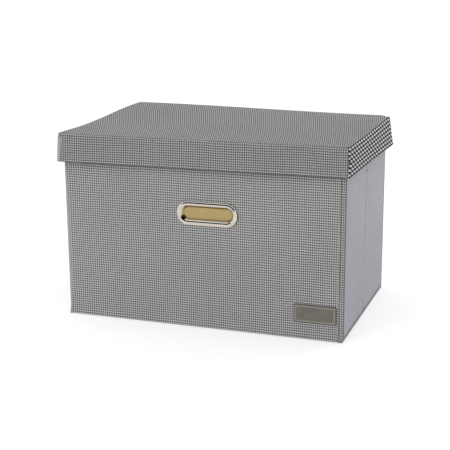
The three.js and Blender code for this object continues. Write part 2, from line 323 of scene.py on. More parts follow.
def metal_material(name, base, stretch, marks, cloud, polish, tones, raised):
    """Plated or gilt metal with fine marks, which stretch draws out, and soft clouds of tone

    marks is their noise's scale, detail and roughness, cloud the scale of the clouds, polish the
    range and the least of the metal's roughness, and raised how much the marks stand up
    """
    material, nodes, shader = new_material(name, polish[1], 1.0)
    place = nodes.place()
    marks = nodes.noise(nodes.mapped(place, Scale=stretch), *marks)
    cloud = nodes.noise(place, cloud, detail=3.0)
    nodes.fill(shader, {
        "Roughness": nodes.calc("MULTIPLY_ADD", marks, *polish),
        "Base Color": nodes.mix(cloud, *(tint(base, share) for share in tones)),
        "Normal": nodes.bump(marks, strength=raised, distance=0.0001),
    })
    return material


def clamp_material(base):
    """Zinc-plated sheet with small spangles"""
    material, nodes, shader = new_material("Zinc-plated sheet", 0.4, 1.0)
    dark, polish = 0.85, (0.2, 0.3)
    spangle = nodes.add("ShaderNodeTexVoronoi", {"Scale": 500.0, "Vector": nodes.place()})
    spangle = spangle.outputs["Distance"]
    nodes.fill(shader, {
        "Base Color": nodes.mix(spangle, tint(base, dark), tint(base)),
        "Roughness": nodes.calc("MULTIPLY_ADD", spangle, *polish),
    })
    return material


def patch_material(settings):
    """Taupe leatherette with a fine diagonal hatch, a lighter line and a darker edge, both read from
    attributes
    """
    material, nodes, shader = new_material("Taupe leatherette", 0.6, specular=0.4)
    dark, light, between_lines, worn = 0.72, 1.25, 0.72, 0.3
    place = nodes.place()
    turned = nodes.mapped(place, Rotation=(0, math.radians(40), 0))
    hatch = nodes.add("ShaderNodeTexWave", {"Scale": 260.0, "Distortion": 1.5, "Vector": turned})
    hatch = hatch.outputs["Fac"]
    grain = nodes.noise(place, scale=1500.0, detail=4.0, roughness=0.65)
    cloud = nodes.noise(place, scale=110.0, detail=3.0, roughness=0.6)
    tones = nodes.mix(cloud, tint(settings.patch, dark), tint(settings.patch, light))
    tones = nodes.mix(hatch, tones, tint((1, 1, 1), between_lines), "MULTIPLY")
    # patch_edge takes the colour down to 0.3 of itself at the patch's edge and on its sides
    marks = {"patch_line": tint(settings.patch_line), "patch_edge": tint(settings.patch, worn)}
    for name, drawn in marks.items():
        line = nodes.add("ShaderNodeAttribute", attribute_name=name).outputs["Fac"]
        tones = nodes.mix(line, tones, drawn)
    height = nodes.calc("MULTIPLY_ADD", hatch, 0.6, grain)
    nodes.fill(shader, {"Base Color": tones, "Normal": nodes.bump(height, strength=0.35, distance=0.0002)})
    return material


@cache
def material_named(name):
    """Every finish of the box, made when it is first asked for"""
    cloth, pull = bpy.context.scene.box_cloth, bpy.context.scene.box_pull
    makers = {
        "check": lambda: two_tone_cloth("Fine check cloth", cloth, "check", check_weave),
        "welt": lambda: two_tone_cloth(
            "Welt check cloth", cloth, "check", check_weave, across=0.8, wander=0.1
        ),
        "skirt": lambda: two_tone_cloth("Lid skirt cloth", cloth, "skirt", check_weave, up=0.95),
        "top": lambda: two_tone_cloth(
            "Lid top cloth", cloth, "top", check_weave, wander=0.35, twill=0.1, gain=3.0
        ),
        "bold": lambda: two_tone_cloth("Bold check cloth", cloth, "bold", chequer_weave),
        "plain": lambda: plain_cloth(
            "Plain lavender cloth", cloth.plain, pitch=0.0007, contrast=0.3, blotch=0.1
        ),
        "lining": lambda: plain_cloth(
            "Non-woven lining", cloth.lining, pitch=0.0012, contrast=0.05, blotch=0.04, roughness=0.95
        ),
        # Base cloth: darker lavender, partly painted shade for the dark line at the walls' foot
        "base": lambda: plain_cloth("Base cloth", cloth.base, pitch=0.0008, contrast=0.12, blotch=0.06),
        "board": lambda: grained_material(
            "Greyboard", cloth.board, roughness=0.9, specular=0.2,
            grain=(420.0, 4.0, 0.7), tones=(0.75, 1.2), bump=(0.3, 0.0003),
        ),
        "thread": lambda: grained_material(
            "Grey thread", cloth.thread, roughness=0.75, specular=0.3,
            grain=(3000.0,), tones=(0.7, 1.0), bump=(0.4, 0.0001),
        ),
        "rim": lambda: metal_material(
            "Warm nickel", pull.rim, stretch=(1, 1, 1), marks=(900.0, 5.0, 0.7), cloud=60.0,
            polish=(0.08, 0.04), tones=(1.0, 0.9), raised=0.04,
        ),
        "dish": lambda: metal_material(
            "Gilt sheet", pull.dish, stretch=(0.05, 1, 1), marks=(2600.0, 3.0, 0.6), cloud=70.0,
            polish=(0.14, 0.2), tones=(0.92, 1.1), raised=0.08,
        ),
        "clamp": lambda: clamp_material(pull.clamp),
        "patch": lambda: patch_material(pull),
    }
    return makers[name]()


# Mesh helpers


class PanelFrame:
    """A panel's own axes: a runs along it, b up it, and c from its lined face to its cloth face

    The nodes together give its width and height, and the first one its depth
    """

    def __init__(self, nodes, out):
        boxes = [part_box(node) for node in nodes]
        low = Vector([min(box[0][k] for box in boxes) for k in range(3)])
        high = Vector([max(box[1][k] for box in boxes) for k in range(3)])
        self.out = Vector(out)
        through = max(range(3), key=lambda k: abs(out[k]))
        low[through], high[through] = (corner[through] for corner in boxes[0])
        self.up = Vector((0, out[2], 0)) if out[2] else Vector((0, 0, 1))
        self.right = self.up.cross(self.out)
        axes = (self.right, self.up, self.out)
        self.width, self.height, self.depth = (abs((high - low).dot(axis)) for axis in axes)
        self.half = (self.width / 2, self.height / 2)
        self.centre = (low + high) / 2 - self.out * self.depth / 2
        rows = [[column[k] for column in (*axes, self.centre)] for k in range(3)]
        self.matrix = Matrix((*rows, (0, 0, 0, 1)))

    def place(self, a, b, c):
        """The point of the box that lies at a, b and c of the panel"""
        return self.matrix @ Vector((a, b, c))

    def span(self, node):
        """A node's least and greatest a, b and c"""
        corners = [self.matrix.inverted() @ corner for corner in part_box(node)]
        return [sorted(pair) for pair in zip(*corners)]


def finish_piece(obj, material, node=None, body=None):
    """Gives the piece its finish, hides the node that it stands for and hangs it on the body that it rides on
    """
    obj.data.materials.clear()
    obj.data.materials.append(material_named(material))
    if node:
        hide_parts(node)
    if body:
        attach(obj, body)
    return obj


def object_from(bm, name, smooth=True):
    """A new object in the scene, made of the mesh, which is then freed"""
    mesh = bpy.data.meshes.new(name)
    bm.to_mesh(mesh)
    bm.free()
    for polygon in mesh.polygons:
        polygon.use_smooth = smooth
    obj = bpy.data.objects.new(name, mesh)
    bpy.context.collection.objects.link(obj)
    return obj


def bake_modifiers(obj):
    """Turns the object's modifiers into plain mesh"""
    graph = bpy.context.evaluated_depsgraph_get()
    mesh = bpy.data.meshes.new_from_object(obj.evaluated_get(graph))
    obj.modifiers.clear()
    obj.data = mesh


def cloth_piece(bm, place, name, thickness, material, node=None, body=None, even=True):
    """Sets a surface in its place on the box and gives it the cloth's thickness"""
    bm.transform(place)
    obj = object_from(bm, name)
    modifier = obj.modifiers.new("Thickness", "SOLIDIFY")
    modifier.thickness = thickness
    modifier.offset = -1.0
    modifier.use_even_offset = even
    bake_modifiers(obj)
    return finish_piece(obj, material, node, body)


def bevel(bm, edges, radius, segments):
    """Rounds the edges by a radius"""
    bmesh.ops.bevel(
        bm, geom=edges, offset=radius, segments=segments, profile=0.5, affect="EDGES",
        clamp_overlap=True,
    )


def drawn_out(x):
    """Where a point of the front lies on its cloth, which was drawn tighter towards the left"""
    share, change = 0.99, 0.25
    return x * (share + change * x)


def laid_askew(co):
    """Where a point of the lid's top lies on its cloth, which is askew and fans out towards the left"""
    lean, fan = 0.33, 0.55
    return drawn_out(co.x) + co.y * (lean - fan * co.x), co.y


def write_uv(bm, coordinates):
    """Cloth coordinates in metres, from a function of a vertex's place"""
    layer = bm.loops.layers.uv.new(CLOTH_UV)
    for face in bm.faces:
        for loop in face.loops:
            loop[layer].uv = coordinates(loop.vert.co)


def join_rows(bm, rows, closed=False):
    """Faces between rows of vertices; closed also joins each row's end to its start"""
    for low, high in zip(rows, rows[1:]):
        for i in range(len(low) if closed else len(low) - 1):
            j = (i + 1) % len(low)
            bm.faces.new((low[i], low[j], high[j], high[i]))


def steps_for(size, step):
    """How many steps of about this length a size takes"""
    return max(2, round(size / step))


def flat_grid(bm, half, step, c=0.0):
    """A grid at c, as rows of vertices"""
    columns, rows = (steps_for(2 * size, step) for size in half)
    grid = []
    for j in range(rows + 1):
        y = 2 * half[1] * (j / rows - 0.5)
        grid.append([bm.verts.new((2 * half[0] * (i / columns - 0.5), y, c)) for i in range(columns + 1)])
    join_rows(bm, grid)
    return grid


def rim_loop(grid):
    """The grid's outer vertices in order, anticlockwise, each with the sides that it lies on"""
    bottom, top = grid[0], grid[-1]
    left, right = [row[0] for row in grid], [row[-1] for row in grid]
    loop = [(vertex, (0, -1)) for vertex in bottom[:-1]] + [(vertex, (1, 0)) for vertex in right[:-1]]
    loop += [(vertex, (0, 1)) for vertex in top[:0:-1]] + [(vertex, (-1, 0)) for vertex in left[:0:-1]]
    corners = {bottom[0]: (-1, -1), bottom[-1]: (1, -1), top[-1]: (1, 1), top[0]: (-1, 1)}
    return [(vertex, corners.get(vertex, sides)) for vertex, sides in loop]


def add_ring(bm, start, previous, half, move, c):
    """A ring of vertices below the rim: each rim vertex moved out by move, kept inside half, at height c"""
    ring = []
    for vertex, sides in start:
        moved = (vertex.co[k] + sides[k] * move for k in (0, 1))
        kept = [max(-size - move, min(size + move, value)) for value, size in zip(moved, half)]
        ring.append(bm.verts.new((*kept, c)))
    for i in range(len(ring)):
        j = (i + 1) % len(ring)
        bm.faces.new((previous[i], ring[i], ring[j], previous[j]))
    return ring


def between(bm, test):
    """The edges whose two ends pass the test"""
    return [edge for edge in bm.edges if test(*(vertex.co for vertex in edge.verts))]


def stadium_offset(x, y, straight, radius):
    """Signed distance from a stadium's outline and the nearest point on its middle line"""
    middle = max(-straight / 2, min(straight / 2, x))
    return math.hypot(x - middle, y) - radius, middle


def cut_stadium(bm, centre, straight, radius):
    """Opens a stadium in the flat face and draws the hole's edge onto its outline"""
    gone = []
    for face in bm.faces:
        point = face.calc_center_median()
        distance, _ = stadium_offset(point.x - centre[0], point.y - centre[1], straight, radius)
        if face.normal.z > 0.5 and distance < 0:
            gone.append(face)
    border = {v for face in gone for v in face.verts}
    bmesh.ops.delete(bm, geom=gone, context="FACES")
    for vertex in border:
        if vertex.is_valid and vertex.link_faces:
            x, y = vertex.co.x - centre[0], vertex.co.y - centre[1]
            _, middle = stadium_offset(x, y, straight, radius)
            away = Vector((x - middle, y)).normalized() * radius
            vertex.co.xy = (centre[0] + middle + away.x, centre[1] + away.y)


def ripple(x, y, seed, scale):
    """Smooth noise from -1 to 1 that is the same in each run"""
    a, b, c = (seed * apart for apart in (17.3, 9.1, 3.7))
    return noise.noise(Vector((x * scale + a, y * scale - b, c)))


def waves(x, y, seed, broad, small):
    """Broad waves with smaller ones on them"""
    share = 0.6
    return share * ripple(x, y, seed, broad) + (1 - share) * ripple(x, y, seed + 1, small)


def fade(distance, width):
    """0 at an edge to 1 past width from it"""
    t = max(0.0, min(1.0, distance / width))
    return t * t * (3 - 2 * t)


def peak(distance, width):
    """1 at a line, falling to 0 a little past width from it"""
    return math.exp(-((distance / width) ** 2))


def room_at(x, y, half):
    """Distance from a point of a panel to its nearest edge"""
    return min(half[0] - abs(x), half[1] - abs(y))


def panel_relief(seed, half):
    """How far a cover stands off its board: soft waves that fade out towards its edges"""
    swell, edge, mean, broad, small = 0.0006, 0.03, 0.5, 9.0, 34.0

    def relief(x, y):
        return swell * fade(room_at(x, y, half), edge) * (mean + waves(x, y, seed, broad, small))

    return relief


def hang_foot(bm, panel, drop):
    """Lays the lowest strip of cloth in front of the base's edge, with a small tuck at the left end"""
    reach, proud, tuck, tuck_width, near, downward = 0.006, 0.0008, 0.0012, 0.004, 1e-5, -0.9
    edge, foot = panel.half
    low = near - foot - drop
    hidden = [f for f in bm.faces if f.calc_center_median().y < low and f.normal.y < downward]
    bmesh.ops.delete(bm, geom=hidden, context="FACES")
    for vertex in bm.verts:
        share = min(1.0, (reach - foot - vertex.co.y) / reach)
        if share > 0:
            behind = min(0.0, vertex.co.z - panel.depth)
            fold = tuck * peak(vertex.co.x + edge, tuck_width) * fade(-foot - vertex.co.y, drop)
            vertex.co.z += fade(share, 1.0) * (proud - behind) + fold


def take_foot(bm, panel, name, thickness, material):
    """Parts what hangs below a wall from its cloth, to stay with the base when the wall folds away"""
    lower = bm.copy()
    for part, is_foot in ((bm, False), (lower, True)):
        everything = part.verts[:] + part.edges[:] + part.faces[:]
        bmesh.ops.bisect_plane(
            part, geom=everything, plane_co=(0, -panel.half[1], 0), plane_no=(0, 1, 0),
            clear_outer=is_foot, clear_inner=not is_foot,
        )
    return cloth_piece(
        lower, panel.matrix, name + "_foot", thickness, material, body="base_panel", even=False
    )


def cover_mesh(panel, step, roll, drop):
    """A cover's outer face with rolled edges and turned sides, in the panel's own axes"""
    bm = bmesh.new()
    half = (panel.half[0], panel.half[1] + drop / 2)
    grid = flat_grid(bm, half, step, panel.depth)
    start = rim_loop(grid)
    ring = [vertex for vertex, _ in start]
    for c in (panel.depth / 2, 0.0):
        ring = add_ring(bm, start, ring, half, 0.0, c)
    bm.normal_update()
    near = 1e-6

    def at_ends(a, b):
        return [min(abs(a[k]), abs(b[k])) > half[k] - near for k in (0, 1)]

    top_edges = between(bm, lambda a, b: min(a.z, b.z) > panel.depth - near and any(at_ends(a, b)))
    corner_edges = between(bm, lambda a, b: all(at_ends(a, b)) and a.z != b.z)
    bevel(bm, top_edges + corner_edges, roll, 3)
    if drop:
        bmesh.ops.translate(bm, verts=bm.verts, vec=(0, -drop / 2, 0))
        bm.normal_update()
        hang_foot(bm, panel, drop)
    return bm


def unfolded(co, half, depth, roll):
    """Where a point of the cover lay on the flat cloth before it was turned over the board"""
    drop = max(0.0, depth - co.z)
    x, y = (v + math.copysign(drop, v) if abs(v) > size - roll else v for v, size in zip(co.xy, half))
    return drawn_out(x), y


def make_cover(name, panel, material, base, body, relief, step, hole=None, drop=0.0):
    """One sheet of cloth, cut with enough to turn over the board's four edges"""
    cloth = bpy.context.scene.box_cloth
    thickness, roll, near = cloth.cloth_thickness, cloth.cloth_roll, 1e-6
    bm = cover_mesh(panel, step, roll, drop)
    if hole:
        cut_stadium(bm, *hole)
    write_uv(bm, lambda co: unfolded(co, panel.half, panel.depth, roll))
    for vertex in bm.verts:
        if vertex.co.z > panel.depth - near:
            vertex.co.z += relief(vertex.co.x, vertex.co.y)
    feet = [take_foot(bm, panel, name, thickness, material)] if drop else []
    obj = cloth_piece(bm, panel.matrix, name, thickness, material, base + "_cloth", body)


def make_lining(name, panel, base, body, seed, hole=None):
    """The pale sheet on a panel's inner face"""
    thickness = bpy.context.scene.box_cloth.cloth_thickness
    step, swell, wave_scale, edge, thinner = 0.006, 0.0002, 14.0, 0.02, 0.7
    half = [size - thickness for size in panel.half]
    bm = bmesh.new()
    flat_grid(bm, half, step)
    bm.normal_update()
    if hole:
        cut_stadium(bm, *hole)
    bmesh.ops.reverse_faces(bm, faces=bm.faces)
    write_uv(bm, lambda co: (co.x, co.y))
    for vertex in bm.verts:
        x, y = vertex.co.xy
        vertex.co.z = swell * (1 - ripple(x, y, seed, wave_scale)) * fade(room_at(x, y, half), edge)
    obj = cloth_piece(bm, panel.matrix, name, thickness * thinner, "lining", base + "_lining", body)


def strip_mesh(profile_at, low, high, step, outward=1):
    """A strip of cloth swept from low to high; profile_at gives its section at a share of the way"""
    bm = bmesh.new()
    rows = steps_for(high - low, step)
    grid, along = [], {}
    for j in range(rows + 1):
        profile = profile_at(j / rows)
        climb = (high - low) * j / rows
        grid.append([bm.verts.new((a, low + climb, c)) for a, c in profile])
        run = 0.0
        for i, vertex in enumerate(grid[-1]):
            run += math.dist(profile[i], profile[max(0, i - 1)])
            along[vertex] = (run, climb)
    join_rows(bm, grid)
    if outward < 0:
        bmesh.ops.reverse_faces(bm, faces=bm.faces)
    layer = bm.loops.layers.uv.new(CLOTH_UV)
    for face in bm.faces:
        for loop in face.loops:
            loop[layer].uv = along[loop.vert]
    return bm


def arc(centre, radius, start, end, steps):
    """Points of a circular arc between two angles in degrees"""
    angles = [math.radians(start + (end - start) * k / steps) for k in range(steps + 1)]
    return [(centre[0] + radius * math.cos(t), centre[1] + radius * math.sin(t)) for t in angles]


def turned_section(edge, reach, face, radius, proud):
    """Section of a strip that lies on the cloth face and turns round the panel's end at +edge"""
    points = [(edge - reach, face), (edge - reach + 2 * proud, face + proud)]
    points += arc((edge + proud - radius, face + proud - radius), radius, 90, 0, 5)
    return points + [(edge + proud, 0.0)]


def bead_section(edge, reach, face, rise):
    """Section of a round welt at +edge: a flat tongue, a groove, the bead and the turned side"""
    radius = reach / 2
    tongue, lift, groove, low = 0.0014, 0.0006, 0.0009, 0.0001
    points = [(edge - reach - groove - tongue, face + low), (edge - reach - groove, face + lift)]
    points += [(edge - reach - groove / 2, face + low)]
    points += arc((edge - radius, face + rise - radius), radius, 160, 0, 10)
    return points + [(edge, 0.0)]


def mirrored(points):
    """The section for the other end of the panel"""
    return [(-a, c) for a, c in points]


# Stitches by Geometry Nodes


@cache
def stitch_tree():
    """Rows of stitches along a line of edges: capsules at an even spacing, turned along the line"""
    tree = bpy.data.node_groups.new("Stitch row", "GeometryNodeTree")
    face = tree.interface
    face.new_socket("Geometry", in_out="INPUT", socket_type="NodeSocketGeometry")
    for name in ("Spacing", "Length", "Radius"):
        face.new_socket(name, in_out="INPUT", socket_type="NodeSocketFloat")
    face.new_socket("Material", in_out="INPUT", socket_type="NodeSocketMaterial")
    face.new_socket("Geometry", in_out="OUTPUT", socket_type="NodeSocketGeometry")
    nodes = NodeTree(tree)
    given = nodes.add("NodeGroupInput").outputs
    curve = nodes.add("GeometryNodeMeshToCurve", {"Mesh": given["Geometry"]}).outputs["Curve"]
    spaced = {"Curve": curve, "Length": given["Spacing"]}
    points = nodes.add("GeometryNodeCurveToPoints", spaced, mode="LENGTH").outputs
    ball = {"Segments": 6, "Rings": 4, "Radius": given["Radius"]}
    ball = nodes.add("GeometryNodeMeshUVSphere", ball).outputs["Mesh"]
    longer = nodes.calc("DIVIDE", given["Length"], nodes.calc("MULTIPLY", given["Radius"], 2.0))
    scale = nodes.add("ShaderNodeCombineXYZ", {"X": 1.0, "Y": 1.0, "Z": longer}).outputs[0]
    turn = nodes.add("FunctionNodeAlignRotationToVector", {"Vector": points["Tangent"]}, axis="Z")
    placed = {
        "Points": points["Points"], "Instance": ball, "Rotation": turn.outputs["Rotation"], "Scale": scale
    }
    instances = nodes.add("GeometryNodeInstanceOnPoints", placed).outputs["Instances"]
    real = nodes.add("GeometryNodeRealizeInstances", {"Geometry": instances}).outputs["Geometry"]
    finish = nodes.add("GeometryNodeSetMaterial", {"Geometry": real, "Material": given["Material"]})
    nodes.add("NodeGroupOutput", {"Geometry": finish.outputs["Geometry"]})
    return tree


def make_stitches(name, lines, body, spacing=0.004, stitch=0.0026, radius=0.0003):
    """One object of stitches along open or closed lines of points, riding on one body"""
    bm = bmesh.new()
    for points, closed in lines:
        made = [bm.verts.new(point) for point in points]
        for pair in list(zip(made, made[1:])) + ([(made[-1], made[0])] if closed else []):
            bm.edges.new(pair)
    obj = object_from(bm, name)
    modifier = obj.modifiers.new("Stitches", "NODES")
    modifier.node_group = stitch_tree()
    values = {
        "Spacing": spacing, "Length": stitch, "Radius": radius, "Material": material_named("thread")
    }
    for item in stitch_tree().interface.items_tree:
        if item.in_out == "INPUT" and item.name in values:
            modifier[item.identifier] = values[item.name]
    bake_modifiers(obj)
    for polygon in obj.data.polygons:
        polygon.use_smooth = True
    finish_piece(obj, "thread", body=body)


# The box's pieces


def wall_base(name):
    """The body of a wall, which also starts the names of its nodes"""
    return name + "_wall" if name in ("front", "back") else name


def wall_frame(name):
    """A wall's own axes; the front wall's size takes in its two corner strips"""
    nodes = [wall_base(name) + "_cloth"]
    if name == "front":
        nodes += ["front_left_binding", "front_right_welt"]
    return PanelFrame(nodes, WALLS[name])


def pull_hole(panel, clearance):
    """The finger opening with a clearance round it: its centre, straight length and end radius"""
    pull = bpy.context.scene.box_pull
    along, up, _ = panel.span("pull_rim")
    centre = (sum(along) / 2, sum(up) / 2)
    return centre, pull.mouth_length - pull.mouth_height, pull.mouth_height / 2 + clearance


def foot_drop(panel):
    """How far the front cloth hangs below its board, to just above the floor"""
    floor_gap = 0.0008
    return panel.centre.z - panel.half[1] - floor_gap


def front_relief(panel):
    """The front cover lies flat round the pull and the patch"""
    loose, margin = panel_relief(0, panel.half), 0.001
    pull_fade, patch_fade = 0.02, 0.012
    flats = [(panel.span("pull_rim"), pull_fade), (panel.span("front_patch"), patch_fade)]

    def relief(x, y):
        height = loose(x, y)
        for (along, up, _), width in flats:
            beside = max(0.0, along[0] - x, x - along[1])
            height *= fade(math.hypot(beside, max(0.0, up[0] - y, y - up[1])) - margin, width)
        return height

    return relief


class BOX_OT_walls(bpy.types.Operator):
    """Cover the four walls' boards with cloth and line their inner faces"""

    bl_idname = "storage_box.walls"
    bl_label = "Walls"

    def execute(self, context):
        coarse, fine, cover_clearance, lining_clearance = 0.005, 0.002, 0.0022, 0.002
        for seed, name in enumerate(WALLS):
            panel, base = wall_frame(name), wall_base(name)
            material = "check" if name in ("front", "back") else "plain"
            relief, step, hole, drop = panel_relief(seed, panel.half), coarse, None, 0.0
            if name == "front":
                relief, step = front_relief(panel), fine
                hole, drop = pull_hole(panel, cover_clearance), foot_drop(panel)
            make_cover(name + "_cover", panel, material, base, base, relief, step, hole, drop)
        for seed, name in enumerate(WALLS):
            panel, base = wall_frame(name), wall_base(name)
            hole = pull_hole(panel, lining_clearance) if name == "front" else None
            make_lining(name + "_lining_sheet", panel, base, base, seed, hole)
        return {"FINISHED"}


class BOX_OT_base(bpy.types.Operator):
    """Cover and line the base panel"""

    bl_idname = "storage_box.base"
    bl_label = "Base"

    def execute(self, context):
        panel = PanelFrame(["base_cloth"], (0, 0, -1))
        lift, edge, step, seed = 0.0003, 0.02, 0.006, 11
        make_cover(
            "base_cover", panel, "base", "base", "base_panel",
            lambda x, y: -lift * fade(room_at(x, y, panel.half), edge), step,
        )
        make_lining("base_lining_sheet", panel, "base", "base_panel", seed)
        return {"FINISHED"}


class BOX_OT_corners(bpy.types.Operator):
    """Turned plain cloth at the front's left corner and the round welt at its right corner"""

    bl_idname = "storage_box.corners"
    bl_label = "Front corners"

    def execute(self, context):
        roll = context.scene.box_cloth.cloth_roll
        panel = wall_frame("front")
        edge, face = panel.half[0], panel.depth
        (start, end), *_ = panel.span("front_left_binding")
        binding = end - start
        proud, narrow, widening, pinch = 0.0003, 0.28, 0.42, 0.15
        top_end, foot_end = 0.3, 0.2

        def left(share):
            """Narrow at the top, wide below and pinched at the foot"""
            pinched = pinch * fade(foot_end - share, foot_end)
            reach = narrow + widening * fade(1 - share, top_end) - pinched
            return mirrored(turned_section(edge, binding * reach, face, roll, proud))

        (start, end), _, (back, front) = panel.span("front_right_welt")
        bead = bead_section(edge, end - start, face, front - back - face)
        self.make(panel, "front_left_turning", left, "plain", "front_left_binding", -1)
        self.make(panel, "front_right_welting", lambda share: bead, "welt", "front_right_welt", 1)
        return {"FINISHED"}

    def make(self, panel, name, profile_at, material, node, outward):
        drop, foot, step, pressed = foot_drop(panel), panel.half[1], 0.003, 0.8
        bm = strip_mesh(profile_at, -foot - drop, foot, step, outward)
        hang_foot(bm, panel, drop)
        thickness = bpy.context.scene.box_cloth.cloth_thickness * pressed
        take_foot(bm, panel, name, thickness, material)
        cloth_piece(bm, panel.matrix, name, thickness, material, node, "front_wall")


class BOX_OT_corner_strips(bpy.types.Operator):
    """Narrow strips of plain cloth that close the four corners over the gaps between the walls"""

    bl_idname = "storage_box.corner_strips"
    bl_label = "Corner strips"

    def execute(self, context):
        over, reach, stand, inset, thickness, step = 0.0011, 0.003, 0.0003, 0.0008, 0.00025, 0.008
        for name, toward in (("right_front", -1), ("right_rear", 1), ("left_front", 1), ("left_rear", -1)):
            panel = wall_frame(name)
            edge, face = panel.half[0], panel.depth
            section = [
                (edge - reach, face + stand / 3), (edge - reach / 2, face + stand),
                (edge, face + stand), (edge + over, face + stand / 3),
            ]
            if toward < 0:
                section = mirrored(section)
            end = panel.half[1] - inset
            bm = strip_mesh(lambda share: section, -end, end, step, toward)
            cloth_piece(bm, panel.matrix, name + "_corner_strip", thickness, "plain", body=name)
        return {"FINISHED"}


class BOX_OT_creases(bpy.types.Operator):
    """Strips of cloth over the centre creases of the end walls"""

    bl_idname = "storage_box.creases"
    bl_label = "Crease strips"

    def execute(self, context):
        half_width, bend, notch, foot, thickness = 0.008, 0.0015, 0.046, 0.0015, 0.0003
        proud, sunk, blend_level, step = 0.0001, 0.0006, 0.1, 0.005
        upright = Matrix(((0, 0, 1, 0), (1, 0, 0, 0), (0, 1, 0, 0), (0, 0, 0, 1)))
        for side, sign in (("right", 1), ("left", -1)):
            low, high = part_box(side + "_rear_cloth")
            face = (high if sign > 0 else low).x
            ways = (half_width, half_width / 2, bend, bend / 2)
            profile = [(y, face + sign * proud) for y in (*(-way for way in ways), 0.0, *ways[::-1])]
            for end in (0, -1):
                profile[end] = (profile[end][0], face + sign * (proud - sunk))
            bm = strip_mesh(lambda share: profile, low.z + foot, high.z - notch, step, -sign)
            obj = cloth_piece(bm, upright, side + "_crease_strip", thickness, "plain")
            start, end = (face, bend, blend_level), (face, -bend, blend_level)
            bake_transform(obj)
        return {"FINISHED"}


class LidFrame:
    """The lid's sizes: its top panel, the skirt's top and hem, and how far the hem flares"""

    def __init__(self):
        self.top = PanelFrame(["lid_top_cloth"], (0, 0, 1))
        self.half = self.top.half
        self.top_z = self.top.centre.z + self.top.depth
        self.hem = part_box("lid_front_skirt_cloth")[0].z
        end_low, end_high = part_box("lid_right_skirt_cloth")
        self.flare = end_high.x - self.half[0]
        self.thickness = self.half[0] - end_low.x

    def down(self, z):
        """0 at the level of the top, 1 at the hem"""
        return (self.top_z - z) / (self.top_z - self.hem)


def lid_shell(lid):
    """The lid's cloth: top, four flared skirts, hem and the inner leaf, as one surface"""
    step, rows, leaf_gap = 0.004, 9, 0.0002
    bm = bmesh.new()
    start = rim_loop(flat_grid(bm, lid.half, step, lid.top_z))
    ring = [vertex for vertex, _ in start]
    for share in [k / rows for k in range(1, rows + 1)]:
        level = lid.top_z - (lid.top_z - lid.hem) * share
        ring = add_ring(bm, start, ring, lid.half, lid.flare * share, level)
    ring = add_ring(bm, start, ring, lid.half, lid.flare - lid.thickness, lid.hem)
    add_ring(bm, start, ring, lid.half, leaf_gap - lid.thickness, lid.top.centre.z)
    bmesh.ops.remove_doubles(bm, verts=bm.verts, dist=1e-6)
    bm.normal_update()
    return bm


def round_lid(bm, lid):
    """Rounds the skirt's upright corners, then the top edge and the hem"""
    near, hem_radius, least_fold, upright_slope = 1e-5, 0.0019, math.radians(60), 0.3

    def at_corner(co):
        spread = lid.flare * lid.down(co.z) - near
        return all(abs(co[k]) > lid.half[k] + spread for k in (0, 1))

    upright = between(bm, lambda a, b: at_corner(a) and at_corner(b) and abs(a.z - b.z) > near)
    bevel(bm, upright, LID_ROUND, 4)
    edges = []
    for edge in bm.edges:
        a, b = (vertex.co for vertex in edge.verts)
        level = abs(a.z - b.z) < near and (a.z > lid.top_z - near or a.z < lid.hem + near)
        if level and len(edge.link_faces) == 2 and edge.calc_face_angle(0) > least_fold:
            normals = [face.normal for face in edge.link_faces]
            if any(abs(n.z) < upright_slope and n.xy.dot(a.xy) > 0 for n in normals):
                edges.append(edge)
    bevel(bm, edges, hem_radius, 4)
    bm.normal_update()


def warp_lid(x, y, half, down):
    """How far the loose lid's top edge stands above its true place towards the back, most at the left"""
    everywhere, more_left, starts = 0.0035, 0.006, -0.6
    back = fade(y / half[1] - starts, 1 - starts)
    left = fade((1 - x / half[0]) / 2, 1.0)
    return back * (everywhere + more_left * left) * (1 - fade(down, 1.0))


def wave_lid(bm, lid):
    """Soft waves of the top, the skirts and the hem, and the slight warp of the boards"""
    worn_within, worn_by, flared_by, edge = 0.012, 0.0045, 0.003, 0.03
    top_wave, side_wave, hem_wave, lean = 0.0007, 0.0007, 0.0005, 0.3
    top_level, broad, small, side_scale, hem_scale, held = 0.001, 7.0, 30.0, 16.0, 12.0, 0.4
    half = lid.half
    for vertex in bm.verts:
        x, y, z = vertex.co
        down = max(0.0, lid.down(z))
        worn = 1 - fade(math.hypot(half[0] - x, half[1] - y), worn_within)
        vertex.co.z += warp_lid(x, y, half, down) - worn_by * worn * (1 - down)
        if down < top_level:
            vertex.co.z += top_wave * waves(x, y, 21, broad, small) * fade(room_at(x, y, half), edge)
            continue
        side = fade(down, held)
        diagonal = abs(y) * half[0] / half[1]
        if x > diagonal:
            vertex.co.x += flared_by * down**2 * fade(y, half[1])
        if abs(x) > diagonal:
            vertex.co.x += math.copysign(side_wave * side * (ripple(y, z, 23, side_scale) + lean), x)
        else:
            vertex.co.y += math.copysign(side_wave * side * (ripple(x, z, 24, side_scale) + lean), y)
        vertex.co.z += hem_wave * side * ripple(x, y, 25, hem_scale)


